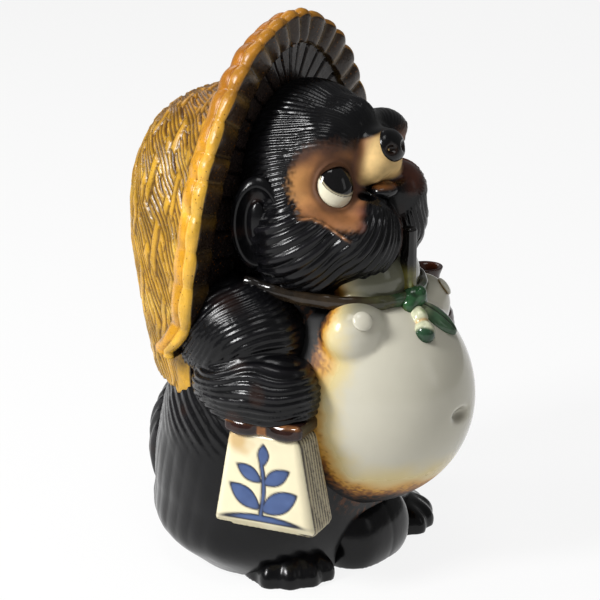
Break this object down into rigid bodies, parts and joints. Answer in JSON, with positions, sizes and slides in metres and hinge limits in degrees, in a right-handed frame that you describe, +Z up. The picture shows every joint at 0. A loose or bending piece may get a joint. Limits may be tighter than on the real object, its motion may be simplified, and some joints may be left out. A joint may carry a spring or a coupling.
{
  "type": "tanuki statue",
  "caption": "Standing tanuki figure in glazed stoneware with a round belly, a straw hat on its back, an account book and a sake flask; a hollow ornament that stands on its open base.",
  "frame": {"origin": "on the surface the figure stands on, under the middle of its outer box", "axes": "+Z up, -Y the way the figure faces, +X towards its left hand"},
  "size_m": [0.148, 0.1712, 0.2514],
  "materials": {
    "fur_glaze": "glossy black glaze over carved fur",
    "belly_glaze": "glossy off-white glaze, amber and brown at the edge",
    "face_glaze": "tan to cream glaze",
    "eye_glaze": "glossy cream glaze with black pupils",
    "straw_glaze": "glossy amber glaze over woven relief",
    "book_glaze": "glossy cream glaze with a cobalt brush motif",
    "binding_glaze": "glossy dark brown glaze",
    "flask_glaze": "glossy red-brown glaze",
    "cord_glaze": "glossy brown glaze running to green"
  },
  "bodies": {
    "root": {"body": "fur_glaze", "belly": "belly_glaze", "right_nipple": "belly_glaze", "left_nipple": "belly_glaze", "pouch": "fur_glaze", "right_foot": "fur_glaze", "left_foot": "fur_glaze", "tail": "fur_glaze", "right_arm": "fur_glaze", "left_arm": "fur_glaze", "account_book": "book_glaze", "book_binding": "binding_glaze", "flask": "flask_glaze", "head": "fur_glaze", "muzzle": "face_glaze", "nose": "fur_glaze", "lower_lip": "face_glaze", "right_eye": "eye_glaze", "left_eye": "eye_glaze", "right_ear": "fur_glaze", "left_ear": "fur_glaze", "hat_brim": "straw_glaze", "hat_crown": "straw_glaze", "right_cord": "cord_glaze", "left_cord": "cord_glaze", "chin_cord": "cord_glaze", "cord_knot": "cord_glaze", "cord_bud": "cord_glaze", "cord_leaf": "cord_glaze"}
  },
  "joints": []
}
